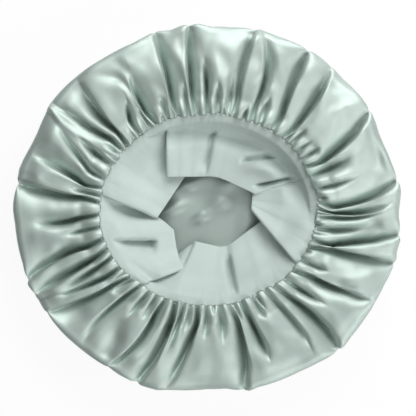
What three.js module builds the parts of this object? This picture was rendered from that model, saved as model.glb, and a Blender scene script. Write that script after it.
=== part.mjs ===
// A gathered satin hair bonnet, lying crown down with its opening up.
// Millimetres, +Z up. The origin is on the table, under the middle of the crown.
// +X runs along the longer half of the oval opening.
import * as THREE from "three";

// Driving dimensions of the cap as it lies.
const OUTLINE_HALF_LENGTH = 170; // middle of the crown to the outline, along X
const OUTLINE_HALF_WIDTH = 162; // the same along Y
const EDGE_TURN = 8; // how far inside the outline the cloth leaves the table
const BULGE_HEIGHT = 12; // height at which the cap is widest
const WALL_HEIGHT = 17; // how far the outer wall stands up from there
const WALL_LEAN = 1.5; // how far that wall leans inwards
const SHOULDER_HEIGHT = 42; // where the wall has turned over into the top of the roll
const SHOULDER_TURN = 7.5; // outline to that shoulder
const CREST_HEIGHT = 50; // top of the gathered roll
const CREST_REACH = 36; // rim to the top of the roll
const NECK_HEIGHT = 46.5; // puffs beside the rim
const NECK_REACH = 10; // rim to those puffs
const CLOTH_WALL = 0.8; // one layer of gathered satin
const LAYER_GAP = 0.3; // slack between two layers, or between a layer and its seat

// Driving dimensions of the rim.
const RIM_HALF_LENGTH = 98; // middle of the opening to the outer edge of the casing, along X
const RIM_HALF_WIDTH = 86; // the same along Y
const RIM_HEIGHT = 40; // table to the middle of the casing
const CASING_WALL = 0.5;
const CAP_TUCK = 2.5; // how far the gathered edges reach between the casing's lips
const MOUTH_LEAD = 1; // level stretch of the gathered edges before the lips
const ELASTIC_WIDTH = 5;
const ELASTIC_THICKNESS = 0.8;
const ELASTIC_LAP = 15; // overlap of the elastic's two ends
const THREAD_WIDTH = 0.4; // sewing thread
const SEAM_INSET = 1.2; // outer edge of the casing to the line of stitches
const ZIGZAG_COUNT = 6; // stitches that close the elastic
const ZIGZAG_MARGIN = 0.8; // edge of the elastic to the points of the zigzag

// Driving dimensions of the wide band that is tucked into the cap.
const HOLE_HALF_LENGTH = 46; // middle of the opening to the band's folded edge, along X
const HOLE_HALF_WIDTH = 35; // the same along Y
const BAND_DROP = 15; // how far the folded edge hangs below the casing
const BAND_TUCK = 3; // how far the band reaches under the casing
const BAND_WALL = 0.6; // one layer of the doubled strip
const BAND_NOSE = 0.9; // depth of the fold along the band's edge
const BAND_SEAM_ANGLE = THREE.MathUtils.degToRad(-82); // place of the seam that closes the band

// Folds of the cap: the creases between its puffs, as the elastic draws them.
// Each has its angle in degrees at the rim and at its outer end, the share of the way from the rim to the
// outline that it reaches, and the side on which the cloth rises steeply: 1 anticlockwise, -1 clockwise.
const CREASES = [
  { rim: 4.4, end: 10.1, reach: 1.12, steep: -1 },
  { rim: 24.3, end: 32.7, reach: 1.08, steep: -1 },
  { rim: 43.8, end: 48.5, reach: 1.05, steep: -1 },
  { rim: 51.1, end: 58.6, reach: 1.08, steep: -1 },
  { rim: 64.3, end: 71, reach: 0.9, steep: -1 },
  { rim: 72.5, end: 74.5, reach: 1.12, steep: -1 },
  { rim: 89.7, end: 90.6, reach: 0.66, steep: 1 },
  { rim: 95.8, end: 94, reach: 1.08, steep: -1 },
  { rim: 107.2, end: 106.5, reach: 1.08, steep: -1 },
  { rim: 120.1, end: 117.7, reach: 0.66, steep: 1 },
  { rim: 141.5, end: 133.5, reach: 0.98, steep: -1 },
  { rim: 145, end: 144.8, reach: 0.92, steep: 1 },
  { rim: 163.9, end: 150.6, reach: 0.82, steep: 1 },
  { rim: 167.7, end: 162.5, reach: 0.95, steep: 1 },
  { rim: 177.7, end: 172.9, reach: 1.12, steep: 1 },
  { rim: 182.3, end: 182.8, reach: 0.8, steep: 1 },
  { rim: 194.9, end: 201.3, reach: 1.08, steep: 1 },
  { rim: 200.4, end: 205.8, reach: 1.05, steep: 1 },
  { rim: 213.2, end: 209.4, reach: 0.82, steep: 1 },
  { rim: 221.6, end: 213, reach: 1.08, steep: 1 },
  { rim: 228.9, end: 226.9, reach: 0.98, steep: -1 },
  { rim: 245.1, end: 237.4, reach: 1.05, steep: 1 },
  { rim: 250.4, end: 246.9, reach: 1.12, steep: -1 },
  { rim: 264.4, end: 257.2, reach: 1.02, steep: 1 },
  { rim: 283.8, end: 282.2, reach: 1.15, steep: -1 },
  { rim: 290.8, end: 292.8, reach: 0.92, steep: 1 },
  { rim: 305, end: 306, reach: 0.9, steep: 1 },
  { rim: 312.1, end: 314, reach: 1.12, steep: 1 },
  { rim: 325.1, end: 332.1, reach: 1.02, steep: -1 },
  { rim: 339.5, end: 344.4, reach: 1.1, steep: 1 },
  { rim: 344.2, end: 354, reach: 1.12, steep: -1 },
];
const GATHER_DEPTH = 11; // top of a puff to the bottom of a crease, on the crest of the roll
const GATHER_FADE = 4; // power with which a crease runs out towards its end
const SLANT_LIMIT = 1.15; // reaches after which a crease slants no further
const STEEP_RISE = 3.5; // crease to puff along the rim, on the steep side
const SOFT_RISE = 8; // the same on the other side
const FULL_PUFF = 13; // narrowest puff at the rim that stands to the full height
const WIDE_PUFF = 19; // narrowest puff at the rim that is flat on top

// Folds of the band: a count round the opening and a depth.
const FLAP_COUNT = 7;
const FLAP_DEPTH = 3.5;
const FLAP_SKEW = 0.7; // radians by which each flap leans over the next
const HOLE_WAVE = 4; // how far the flaps reach past the mean edge of the hole

// Facets.
const RING_SECTIONS = 72;
const BAND_SECTIONS = 63;

// Sizes that follow.
const FULL_TURN = 2 * Math.PI;
const ROLL_SPAN = (OUTLINE_HALF_LENGTH - RIM_HALF_LENGTH + OUTLINE_HALF_WIDTH - RIM_HALF_WIDTH) / 2;
const LAP_HEIGHT = 2 * ELASTIC_THICKNESS + THREAD_WIDTH + 4 * LAYER_GAP;
const CAP_STACK = 2 * CLOTH_WALL + 3 * LAYER_GAP;
const CAVITY_HEIGHT = Math.max(LAP_HEIGHT, CAP_STACK);
const CASING_HEIGHT = CAVITY_HEIGHT + 2 * CASING_WALL;
const CASING_WIDTH = CASING_WALL + LAYER_GAP + ELASTIC_WIDTH + LAYER_GAP + CAP_TUCK;
const CAVITY_FLOOR = RIM_HEIGHT - CAVITY_HEIGHT / 2;
const CASING_BOTTOM = RIM_HEIGHT - CASING_HEIGHT / 2;
const CASING_TOP = RIM_HEIGHT + CASING_HEIGHT / 2;
const SEAM_HEIGHT = RIM_HEIGHT + CAVITY_HEIGHT / 2 - LAYER_GAP; // outer face of the cap between the lips
const BAND_HALF = LAYER_GAP / 2 + BAND_WALL; // middle of the doubled strip to either face
const BAND_START_HEIGHT = CASING_BOTTOM - LAYER_GAP - BAND_HALF;

const ovalRadius = (halfLength, halfWidth, angle) =>
  (halfLength * halfWidth) /
  Math.hypot(halfWidth * Math.cos(angle), halfLength * Math.sin(angle));
const outlineRadius = (angle) => ovalRadius(OUTLINE_HALF_LENGTH, OUTLINE_HALF_WIDTH, angle);
const rimRadius = (angle) => ovalRadius(RIM_HALF_LENGTH, RIM_HALF_WIDTH, angle);

const satin = (color) => new THREE.MeshStandardMaterial({ color, roughness: 0.35, metalness: 0.2 });
const matteCloth = (color) => new THREE.MeshStandardMaterial({ color, roughness: 0.85, metalness: 0 });
const outerSatin = satin(0xa9bab4);
const liningSatin = satin(0x98a9a3);
const bandCloth = matteCloth(0xc6d4cf);
const elasticKnit = matteCloth(0xe9ece9);
const sewingThread = matteCloth(0xb4c4be);

// Puts a point given by its angle, its radius and its height into the part's frame.
function polar(angle, radius, height) {
  return new THREE.Vector3(radius * Math.cos(angle), radius * Math.sin(angle), height);
}

// Evenly spaced angles for sections round the opening.
function turnAngles(count, start = 0) {
  return Array.from({ length: count }, (_, i) => start + (i * FULL_TURN) / count);
}

// Joins closed sections, each with as many points as the next, into one solid.
// Seen with the radius to the right and the height up, a section runs anticlockwise.
// A ring joins its last section to its first, and a strip gets a flat cap at each end.
function loft(sections, isRing) {
  const size = sections[0].length;
  const points = sections.flat();
  const reach = points.map((point) => Math.hypot(point.x, point.y));
  const triangles = [];
  const addTriangle = (a, b, c) => {
    const isFlat = points[a].equals(points[b]) || points[b].equals(points[c]) || points[c].equals(points[a]);
    if (!isFlat) triangles.push(a, b, c);
  };
  // Each diagonal runs inwards, so that the faces of nested layers bend alike.
  const addQuad = (a, b, c, d) => {
    if (reach[a] > reach[b]) {
      addTriangle(a, c, b);
      addTriangle(a, d, c);
    } else {
      addTriangle(a, d, b);
      addTriangle(b, d, c);
    }
  };
  const bays = isRing ? sections.length : sections.length - 1;
  for (let i = 0; i < bays; i++) {
    const here = i * size;
    const next = ((i + 1) % sections.length) * size;
    for (let j = 0; j < size; j++) {
      const k = (j + 1) % size;
      addQuad(here + j, here + k, next + k, next + j);
    }
  }
  if (!isRing) {
    const last = (sections.length - 1) * size;
    for (let j = 1; j < size - 1; j++) {
      addTriangle(0, j, j + 1);
      addTriangle(last, last + j + 1, last + j);
    }
  }
  const geometry = new THREE.BufferGeometry();
  geometry.setAttribute("position", new THREE.Float32BufferAttribute(points.flatMap((p) => p.toArray()), 3));
  geometry.setIndex(triangles);
  geometry.computeVertexNormals();
  return geometry;
}

function part(name, geometry, material) {
  const mesh = new THREE.Mesh(geometry, material);
  mesh.name = name;
  return mesh;
}

// The angle of a crease at a share of the way from the rim to the outline.
function creaseAngle(crease, share) {
  const way = Math.min(share / crease.reach, SLANT_LIMIT);
  return THREE.MathUtils.degToRad(THREE.MathUtils.lerp(crease.rim, crease.end, way));
}

// The lines along which the cap is folded: one down each crease, and one or two over the puff after it.
// Each gives its angle and its sink, from 0 on a full puff to 1 in a crease, at a share of the way from the
// rim to the outline. At the rim itself the lines over a puff are evenly spread.
function foldLines() {
  return CREASES.flatMap((crease, index) => {
    const isLast = index === CREASES.length - 1;
    const next = CREASES[isLast ? 0 : index + 1];
    const turn = isLast ? FULL_TURN : 0;
    const start = creaseAngle(crease, 0);
    const end = creaseAngle(next, 0) + turn;
    const width = (end - start) * rimRadius((start + end) / 2);
    const firstRise = crease.steep > 0 ? STEEP_RISE : SOFT_RISE;
    const lastRise = next.steep < 0 ? STEEP_RISE : SOFT_RISE;
    const isWide = width > WIDE_PUFF;
    const tops = isWide ? [firstRise / width, 1 - lastRise / width] : [firstRise / (firstRise + lastRise)];
    const slack = Math.max(0, 1 - width / FULL_PUFF);
    const depthAt = (share) => Math.max(0, 1 - (share / crease.reach) ** GATHER_FADE);
    const valley = { angleAt: (share) => creaseAngle(crease, share), sinkAt: depthAt };
    const puffs = tops.map((top, order) => ({
      angleAt: (share) => {
        const evenPlace = (order + 1) / (tops.length + 1);
        const place = THREE.MathUtils.lerp(evenPlace, top, Math.min(1, (share * ROLL_SPAN) / NECK_REACH));
        return THREE.MathUtils.lerp(creaseAngle(crease, share), creaseAngle(next, share) + turn, place);
      },
      sinkAt: (share) => slack * depthAt(share),
    }));
    return [valley, ...puffs];
  });
}

// The cap's outer face along one fold line, from the middle of the crown to the tucked edge.
// Each station is an angle, a radius, a height and how far the cloth sinks there.
function capStations(line) {
  const station = (share, radiusAt, height, fold) => {
    const angle = line.angleAt(share);
    return { angle, radius: radiusAt(angle), height, sink: GATHER_DEPTH * fold * line.sinkAt(share) };
  };
  const inside = (distance) => (angle) => outlineRadius(angle) - distance;
  const outside = (distance) => (angle) => rimRadius(angle) + distance;
  const tableShare = 1 + EDGE_TURN / ROLL_SPAN;
  return [
    station(tableShare, () => 0, 0, 0),
    station(tableShare, inside(EDGE_TURN), 0, 0),
    station(1, outlineRadius, BULGE_HEIGHT, 0.35),
    station(1, inside(WALL_LEAN), BULGE_HEIGHT + WALL_HEIGHT, 0.45),
    station(1 - SHOULDER_TURN / ROLL_SPAN, inside(SHOULDER_TURN), SHOULDER_HEIGHT, 0.75),
    station(CREST_REACH / ROLL_SPAN, outside(CREST_REACH), CREST_HEIGHT, 1),
    station(NECK_REACH / ROLL_SPAN, outside(NECK_REACH), NECK_HEIGHT, 0.68),
    station(0, outside(MOUTH_LEAD), SEAM_HEIGHT, 0),
    station(0, outside(-CAP_TUCK), SEAM_HEIGHT, 0),
  ];
}

// Unit normal of the cap's face at a station, in the plane of radius and height.
function stationNormal(stations, index) {
  if (index === 0) return new THREE.Vector2(0, -1);
  const isLevel = index >= stations.length - 2;
  if (isLevel) return new THREE.Vector2(0, 1);
  const before = stations[index - 1];
  const after = stations[index + 1];
  return new THREE.Vector2(after.height - before.height, before.radius - after.radius).normalize();
}

// One face of a cap layer along a fold line, a given depth under the cap's outer face.
function capFace(line, depth) {
  const stations = capStations(line);
  return stations.map((station, index) => {
    const normal = stationNormal(stations, index);
    const shift = station.sink + depth;
    return polar(station.angle, station.radius - shift * normal.x, station.height - shift * normal.y);
  });
}

// One layer of the cap: a disc of cloth, gathered along its edge.
function capLayer(depth) {
  const sections = foldLines().map((line) => [
    ...capFace(line, depth),
    ...capFace(line, depth + CLOTH_WALL).reverse(),
  ]);
  return loft(sections, true);
}

// A ring round the opening from points given as depths inside the rim and heights.
function rimRing(outline) {
  const sections = turnAngles(RING_SECTIONS).map((angle) =>
    outline.map(([depth, height]) => polar(angle, rimRadius(angle) - depth, height)),
  );
  return loft(sections, true);
}

// A rectangle of depths and heights, in the order that faces a ring outwards.
function rectangle(depth, height, width, thickness) {
  return [
    [depth, height],
    [depth, height + thickness],
    [depth + width, height + thickness],
    [depth + width, height],
  ];
}

// The casing: a narrow strip folded into a channel whose lips hold the gathered edges.
function rimCasing() {
  const inner = CASING_WIDTH - CASING_WALL;
  const cavityTop = CAVITY_FLOOR + CAVITY_HEIGHT;
  return rimRing([
    [0, CASING_BOTTOM],
    [0, CAVITY_FLOOR],
    [inner, CAVITY_FLOOR],
    [inner, cavityTop],
    [0, cavityTop],
    [0, CASING_TOP],
    [CASING_WIDTH, CASING_TOP],
    [CASING_WIDTH, CASING_BOTTOM],
  ]);
}

const LAP_STEPS = Math.max(1, Math.round((ELASTIC_LAP * RING_SECTIONS) / (FULL_TURN * RIM_HALF_LENGTH)));
const ELASTIC_OUTER_DEPTH = CAP_TUCK + LAYER_GAP;
const ELASTIC_REST = CAVITY_FLOOR + LAYER_GAP;
const LAP_RISE = ELASTIC_THICKNESS + LAYER_GAP;
const ringStep = FULL_TURN / RING_SECTIONS;

// The elastic: one strip laid round the rim, whose far end rises over its near end.
function rimElastic() {
  const lastSection = RING_SECTIONS + LAP_STEPS;
  const sections = Array.from({ length: lastSection + 1 }, (_, i) => {
    const angle = Math.PI / 2 + i * ringStep;
    const climb = THREE.MathUtils.clamp((i - RING_SECTIONS + 2 * LAP_STEPS) / LAP_STEPS, 0, 1);
    const floor = ELASTIC_REST + climb * LAP_RISE;
    return rectangle(ELASTIC_OUTER_DEPTH, floor, ELASTIC_WIDTH, ELASTIC_THICKNESS).map(
      ([depth, height]) => polar(angle, rimRadius(angle) - depth, height),
    );
  });
  return loft(sections, false);
}

// A thread with a square section along points given by angle, radius and height.
function threadAlong(points) {
  const half = THREAD_WIDTH / 2;
  const sections = points.map(({ angle, radius, height }) => [
    polar(angle, radius + half, height - half),
    polar(angle, radius + half, height + half),
    polar(angle, radius - half, height + half),
    polar(angle, radius - half, height - half),
  ]);
  return loft(sections, false);
}

// The zigzag that closes the elastic, on top of the lap.
function elasticLapThread() {
  const height = ELASTIC_REST + LAP_RISE + ELASTIC_THICKNESS + LAYER_GAP + THREAD_WIDTH / 2;
  const swing = ELASTIC_WIDTH - 2 * ZIGZAG_MARGIN;
  const lapAngle = LAP_STEPS * ringStep;
  const points = Array.from({ length: ZIGZAG_COUNT + 1 }, (_, i) => {
    const angle = Math.PI / 2 + (lapAngle * (i + 0.5)) / (ZIGZAG_COUNT + 1);
    const depth = ELASTIC_OUTER_DEPTH + ZIGZAG_MARGIN + (i % 2) * swing;
    return { angle, radius: rimRadius(angle) - depth, height };
  });
  return threadAlong(points);
}

// The stitches that hold the gathered edges between the casing's lips.
function capSeamThread() {
  const height = CASING_TOP + LAYER_GAP;
  return rimRing(rectangle(SEAM_INSET, height, THREAD_WIDTH, THREAD_WIDTH));
}

// The stitches that hold the band under the casing.
function bandSeamThread() {
  const height = BAND_START_HEIGHT - BAND_HALF - LAYER_GAP - THREAD_WIDTH;
  const depth = CASING_WIDTH - (BAND_TUCK + THREAD_WIDTH) / 2;
  return rimRing(rectangle(depth, height, THREAD_WIDTH, THREAD_WIDTH));
}

// How high a flap of the band lies at an angle, from -1 in a trough to 1 on a ridge.
function flapWave(angle) {
  const phase = FLAP_COUNT * (angle - BAND_SEAM_ANGLE);
  return Math.sin(phase + FLAP_SKEW * Math.sin(phase));
}

// The middle of the doubled band at one angle, from under the casing to its folded edge.
function bandStations(angle) {
  const casingEdge = rimRadius(angle) - CASING_WIDTH;
  const wave = flapWave(angle);
  const hole = ovalRadius(HOLE_HALF_LENGTH, HOLE_HALF_WIDTH, angle) - HOLE_WAVE * wave;
  const shares = [0, 0.5, 1];
  const hanging = shares.map((share) => ({
    radius: casingEdge + (hole - casingEdge) * share,
    height: BAND_START_HEIGHT - BAND_DROP * share ** 1.5 + FLAP_DEPTH * wave * share,
  }));
  return [{ radius: casingEdge + BAND_TUCK, height: BAND_START_HEIGHT }, ...hanging];
}

// The wide band: one strip folded double along its free edge, with its raw edges under the casing.
function wideBand() {
  const sections = turnAngles(BAND_SECTIONS, BAND_SEAM_ANGLE).map((angle) => {
    const stations = bandStations(angle);
    const face = (lift) => stations.map(({ radius, height }) => polar(angle, radius, height + lift));
    const edge = stations[stations.length - 1];
    const nose = polar(angle, edge.radius - BAND_NOSE, edge.height);
    return [
      ...face(BAND_HALF),
      nose,
      ...face(-BAND_HALF).reverse(),
      ...face(-LAYER_GAP / 2),
      ...face(LAYER_GAP / 2).reverse(),
    ];
  });
  return loft(sections, true);
}

// The stitches of the seam that closes the band into a loop, along its upper face.
function bandClosingThread() {
  const lift = BAND_HALF + LAYER_GAP + THREAD_WIDTH / 2;
  const points = bandStations(BAND_SEAM_ANGLE)
    .slice(1)
    .map(({ radius, height }) => ({ angle: BAND_SEAM_ANGLE, radius, height: height + lift }));
  points[0].radius -= LAYER_GAP;
  return threadAcross(points);
}

// A thread with a square section that runs inwards along one angle.
function threadAcross(points) {
  const half = THREAD_WIDTH / 2;
  const side = new THREE.Vector3(-Math.sin(BAND_SEAM_ANGLE), Math.cos(BAND_SEAM_ANGLE), 0);
  const sections = points.map(({ angle, radius, height }) => [
    polar(angle, radius, height - half).addScaledVector(side, -half),
    polar(angle, radius, height - half).addScaledVector(side, half),
    polar(angle, radius, height + half).addScaledVector(side, half),
    polar(angle, radius, height + half).addScaledVector(side, -half),
  ]);
  return loft(sections, false);
}

const cap = new THREE.Group();
cap.add(part("outer_cap", capLayer(0), outerSatin));
cap.add(part("cap_lining", capLayer(CLOTH_WALL + LAYER_GAP), liningSatin));

const rim = new THREE.Group();
rim.add(part("rim_casing", rimCasing(), bandCloth));
rim.add(part("rim_elastic", rimElastic(), elasticKnit));
rim.add(part("elastic_lap_thread", elasticLapThread(), sewingThread));
rim.add(part("cap_seam_thread", capSeamThread(), sewingThread));
rim.add(part("band_seam_thread", bandSeamThread(), sewingThread));

const band = new THREE.Group();
band.add(part("wide_band", wideBand(), bandCloth));
band.add(part("band_closing_thread", bandClosingThread(), sewingThread));

const bonnet = new THREE.Group();
bonnet.add(cap, rim, band);

export default bonnet;
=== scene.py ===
"""Looks of a gathered satin hair bonnet that lies crown down with its opening up.

Points are worked out in millimetres and placed in metres. +Z is up, and +X runs along the longer half of
the oval opening. Angles are in degrees, anticlockwise from +X as seen from above. A spot is a place seen
from above, with X as its real part and Y as its imaginary part. Reach is the way outwards over the cap: 0 at
the rim, 1 at the outline and more on the underside. Sheets of points are rows by columns by three.
"""
import logging
import math
from contextlib import contextmanager
from dataclasses import dataclass
from enum import Enum
from typing import Iterator

import bpy
import numpy as np
from mathutils import Color, Matrix, Vector


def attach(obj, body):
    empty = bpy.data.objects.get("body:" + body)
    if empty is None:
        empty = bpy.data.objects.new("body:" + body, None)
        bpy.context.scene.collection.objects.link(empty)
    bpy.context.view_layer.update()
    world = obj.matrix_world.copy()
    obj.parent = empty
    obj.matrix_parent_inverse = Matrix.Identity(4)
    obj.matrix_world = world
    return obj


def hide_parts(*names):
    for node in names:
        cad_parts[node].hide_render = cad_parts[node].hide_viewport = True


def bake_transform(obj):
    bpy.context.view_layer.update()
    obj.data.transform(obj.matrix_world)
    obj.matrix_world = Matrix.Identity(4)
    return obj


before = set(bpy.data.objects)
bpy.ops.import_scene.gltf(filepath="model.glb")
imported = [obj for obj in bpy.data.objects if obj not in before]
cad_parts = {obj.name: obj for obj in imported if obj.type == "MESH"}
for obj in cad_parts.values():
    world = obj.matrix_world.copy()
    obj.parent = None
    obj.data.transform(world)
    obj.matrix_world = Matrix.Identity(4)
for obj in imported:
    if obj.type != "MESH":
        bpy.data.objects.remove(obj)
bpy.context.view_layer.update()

MM = 0.001
FULL_TURN = 360.0
MERGE_DISTANCE = 1e-6
SHORTEST = 1e-9
WHITE = (1.0, 1.0, 1.0, 1.0)

Array = np.ndarray
Piece = bpy.types.Object
Range = tuple[float, float]
Knots = tuple[Range, ...]
Counts = tuple[int, ...]
Place = tuple[float, float, float]
Tone = tuple[int, int, int]

log = logging.getLogger("bonnet")


class Body(Enum):
    """The bodies that pieces move with."""

    CAP = "cap"
    RIM = "rim"
    BAND = "band"


class Slot(Enum):
    """The record's material slots."""

    OUTER_SATIN = "outer_satin"
    LINING_SATIN = "lining_satin"
    BAND_CLOTH = "band_cloth"
    ELASTIC_KNIT = "elastic_knit"
    SEWING_THREAD = "sewing_thread"


class Hold(Enum):
    """How a sheet of cloth is held."""

    GATHERED = "gathered"
    FOLDED = "folded"


class Face(Enum):
    """The side of the cloth that stitches show on, as the way up out of it."""

    UPPER = 1.0
    LOWER = -1.0


def linear(tone: Tone) -> tuple[float, ...]:
    """Turns a colour of 0 to 255 as seen on a screen into a shader's linear colour with a full alpha."""
    return (*Color([value / 255 for value in tone]).from_srgb_to_scene_linear(), 1.0)


def ease(values: Array | float, start: Array | float, end: Array | float) -> Array:
    """Rises smoothly from 0 at start to 1 at end, for each value."""
    share = np.clip((values - start) / (end - start), 0, 1)
    return share * share * (3 - 2 * share)


def hump(values: Array, rises: Range, falls: Range) -> Array:
    """Rises smoothly from 0 to 1 over one range of values and falls back to 0 over a later one."""
    return ease(values, *rises) * (1 - ease(values, *falls))


def past(angles: Array, start: Array | float) -> Array:
    """Gives how far angles lie past a start, from minus to plus half a turn."""
    return (angles - start + FULL_TURN / 2) % FULL_TURN - FULL_TURN / 2


def unit(ways: Array) -> Array:
    """Gives each way the length 1."""
    return ways / np.maximum(np.linalg.norm(ways, axis=-1, keepdims=True), SHORTEST)


def placed(radius: Array, turn: Array, height: Array | float) -> Array:
    """Makes points of distances from the middle, turns in radians and heights."""
    return np.stack(np.broadcast_arrays(radius * np.cos(turn), radius * np.sin(turn), height), -1)


def waves(turn: Array, counts: Counts, slide: Array | float = 0.0, by_count: float = 0.0,
          by_order: float = 0.0) -> Array:
    """Adds up waves round the opening, all slid alike and then by their counts and by their order."""
    slides = [slide + by_count * count + by_order * order for order, count in enumerate(counts)]
    return sum(np.cos(count * turn + way) for count, way in zip(counts, slides))


def curve_through(knots: Knots, at: Array) -> Array:
    """Reads a smooth curve that passes through given knots.

    Args:
        knots: pairs of place and value, with places rising.
        at: the places to read.

    Returns:
        The curve's value at each place.
    """
    places, values = np.array(knots, float).T
    index = np.clip(np.searchsorted(places, at, "right") - 1, 0, len(places) - 2)
    share = ease(at, places[index], places[index + 1])
    return values[index] * (1 - share) + values[index + 1] * share


@dataclass(frozen=True)
class Oval:
    """An oval round the Z axis, in millimetres."""

    half_length: float
    half_width: float

    def radius(self, angle: Array) -> Array:
        """Measures the way from the middle to the oval in each direction."""
        turn = np.radians(angle)
        return 1 / np.hypot(np.cos(turn) / self.half_length, np.sin(turn) / self.half_width)

    def grown(self, distance: float) -> "Oval":
        """Gives the oval that lies this far outside."""
        return Oval(self.half_length + distance, self.half_width + distance)


OUTLINE = Oval(170, 162)
RIM_OUTER = Oval(98, 86)
CASING_WIDTH = 8.6
CASING_HEIGHT = 4.2
RIM_HEIGHT = 40.0
RIM_INNER = RIM_OUTER.grown(-CASING_WIDTH)
RIM_TILT = 0.45
RIM_TILT_STARTS = 2.0
BACK_MIDDLE = 62.0
BACK_HALF = 46.0
BACK_FADE = 28.0
CAP_SEAM_DEPTH = 1.4
CAP_SEAM_HEIGHT = 42.2
BAND_SEAM_DEPTH = 7.1
BAND_SEAM_HEIGHT = 33.7


def tilt_drop(depth: Array | float) -> Array | float:
    """Gives how far the tilted rim drops at a depth inside its outer edge, in millimetres."""
    return RIM_TILT * (depth - RIM_TILT_STARTS)


def lies_level(angles: Array) -> Array:
    """Gives 0 at the back, where the band drops away under the casing, and 1 where it lies over it."""
    return ease(np.abs(past(angles, BACK_MIDDLE)), BACK_HALF, BACK_HALF + BACK_FADE)


def pick(*pieces: Piece) -> None:
    """Selects only these pieces and makes the first one active.

    Args:
        pieces: what is selected.
    """
    bpy.ops.object.select_all(action="DESELECT")
    for piece in pieces:
        piece.select_set(True)
    bpy.context.view_layer.objects.active = pieces[0]


@contextmanager
def editing(piece: Piece) -> Iterator[None]:
    """Holds a piece in edit mode with all of it selected.

    Args:
        piece: the piece to edit.

    Returns:
        The block in which it is edited.
    """
    pick(piece)
    bpy.ops.object.mode_set(mode="EDIT")
    bpy.ops.mesh.select_all(action="SELECT")
    yield
    bpy.ops.object.mode_set(mode="OBJECT")


def named(name: str) -> Piece:
    """Names the new object and its data, and gives the object."""
    bpy.context.object.name = bpy.context.object.data.name = name
    return bpy.context.object


def lay_cloth(name: str, points: Array) -> Piece:
    """Adds a grid of cloth and moves its points into place, merging the ones that meet.

    Args:
        name: the piece's name.
        points: in millimetres, with the outer face where the turn from the way of the columns to the way of
            the rows points at the viewer.

    Returns:
        The new piece, selected and active.
    """
    rows, columns = points.shape[:2]
    bpy.ops.mesh.primitive_grid_add(x_subdivisions=columns - 1, y_subdivisions=rows - 1, calc_uvs=True)
    piece = named(name)
    piece.data.vertices.foreach_set("co", (points * MM).astype(np.float32).ravel())
    piece.data.update()
    with editing(piece):
        bpy.ops.mesh.remove_doubles(threshold=MERGE_DISTANCE)
        bpy.ops.mesh.dissolve_degenerate(threshold=MERGE_DISTANCE)
    return piece


class NodeBoard:
    """The nodes of a material or a world."""

    def __init__(self, owner: bpy.types.Material | bpy.types.World) -> None:
        """Clears the owner's board.

        Args:
            owner: the material or world that the nodes belong to.
        """
        owner.use_nodes = True
        self.tree = owner.node_tree
        self.tree.nodes.clear()

    def add(self, kind: str, inputs: dict | None = None, **settings: object) -> bpy.types.Node:
        """Adds a node.

        Args:
            kind: the node's type.
            inputs: for an input's name or number, its value or the socket that feeds it.
            settings: values for the node's own properties.

        Returns:
            The new node.
        """
        node = self.tree.nodes.new(kind)
        for key, value in settings.items():
            setattr(node, key, value)
        for key, value in (inputs or {}).items():
            if isinstance(value, bpy.types.NodeSocket):
                self.tree.links.new(value, node.inputs[key])
            else:
                node.inputs[key].default_value = value
        return node


@dataclass(frozen=True)
class ClothFinish:
    """A fine plain weave with a dull face: its two tones, how it shines and how its threads stand out."""

    name: str
    slot: Slot
    deep_tone: Tone
    light_tone: Tone
    roughness: Range = (0.55, 0.7)
    metallic: float = 0.0
    specular: float = 0.35
    sheen: float = 0.25
    sheen_roughness: float = 0.5
    anisotropy: float = 0.0
    cloud_scale: float = 40.0
    slub_scale: float = 700.0
    noise_detail: float = 3.0
    tone_places: Range = (0.3, 0.7)
    threads: Place = (420.0, 150.0, 1.0)
    thread_scale: float = 1.0
    thread_wander: float = 0.4
    thread_detail: float = 1.0
    weave_strength: float = 0.2
    weave_depth: float = 0.00008

    def make(self) -> bpy.types.Material:
        """Builds the material from uneven tones, uneven roughness and the relief of its threads.

        Returns:
            The new material.
        """
        material = bpy.data.materials.new(self.name)
        board = NodeBoard(material)
        place = board.add("ShaderNodeTexCoord").outputs
        pattern = {"Vector": place["Object"], "Detail": self.noise_detail}
        cloud = board.add("ShaderNodeTexNoise", {**pattern, "Scale": self.cloud_scale}).outputs["Fac"]
        slub = board.add("ShaderNodeTexNoise", {**pattern, "Scale": self.slub_scale}).outputs["Fac"]
        tones = board.add("ShaderNodeValToRGB", {"Fac": cloud})
        stops = zip(tones.color_ramp.elements, self.tone_places, (self.deep_tone, self.light_tone))
        for stop, share, tone in stops:
            stop.position = share
            stop.color = linear(tone)
        graded = {"Value": slub, "To Min": self.roughness[0], "To Max": self.roughness[1]}
        stretched = board.add("ShaderNodeMapping", {"Vector": place["UV"], "Scale": self.threads})
        thread = {"Vector": stretched.outputs["Vector"], "Scale": self.thread_scale,
                  "Distortion": self.thread_wander, "Detail": self.thread_detail}
        warp, weft = (board.add("ShaderNodeTexWave", thread, bands_direction=axis) for axis in "XY")
        crossed = {0: warp.outputs["Fac"], 1: weft.outputs["Fac"]}
        weave = board.add("ShaderNodeMath", crossed, operation="ADD").outputs[0]
        relief = {"Height": weave, "Strength": self.weave_strength, "Distance": self.weave_depth}
        shader = board.add("ShaderNodeBsdfPrincipled", {
            "Base Color": tones.outputs["Color"],
            "Roughness": board.add("ShaderNodeMapRange", graded).outputs["Result"],
            "Normal": board.add("ShaderNodeBump", relief).outputs["Normal"],
            "Metallic": self.metallic,
            "Specular IOR Level": self.specular,
            "Sheen Weight": self.sheen,
            "Sheen Roughness": self.sheen_roughness,
            "Anisotropic": self.anisotropy,
        })
        board.add("ShaderNodeOutputMaterial", {"Surface": shader.outputs["BSDF"]})
        return material


@dataclass(frozen=True)
class SatinFinish(ClothFinish):
    """Satin weave: long floating threads that shine."""

    roughness: Range = (0.53, 0.60)
    metallic: float = 0.7
    specular: float = 0.5
    sheen: float = 0.05
    sheen_roughness: float = 0.4
    anisotropy: float = 0.35
    cloud_scale: float = 28.0
    slub_scale: float = 900.0
    weave_strength: float = 0.12
    weave_depth: float = 0.00006


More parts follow.
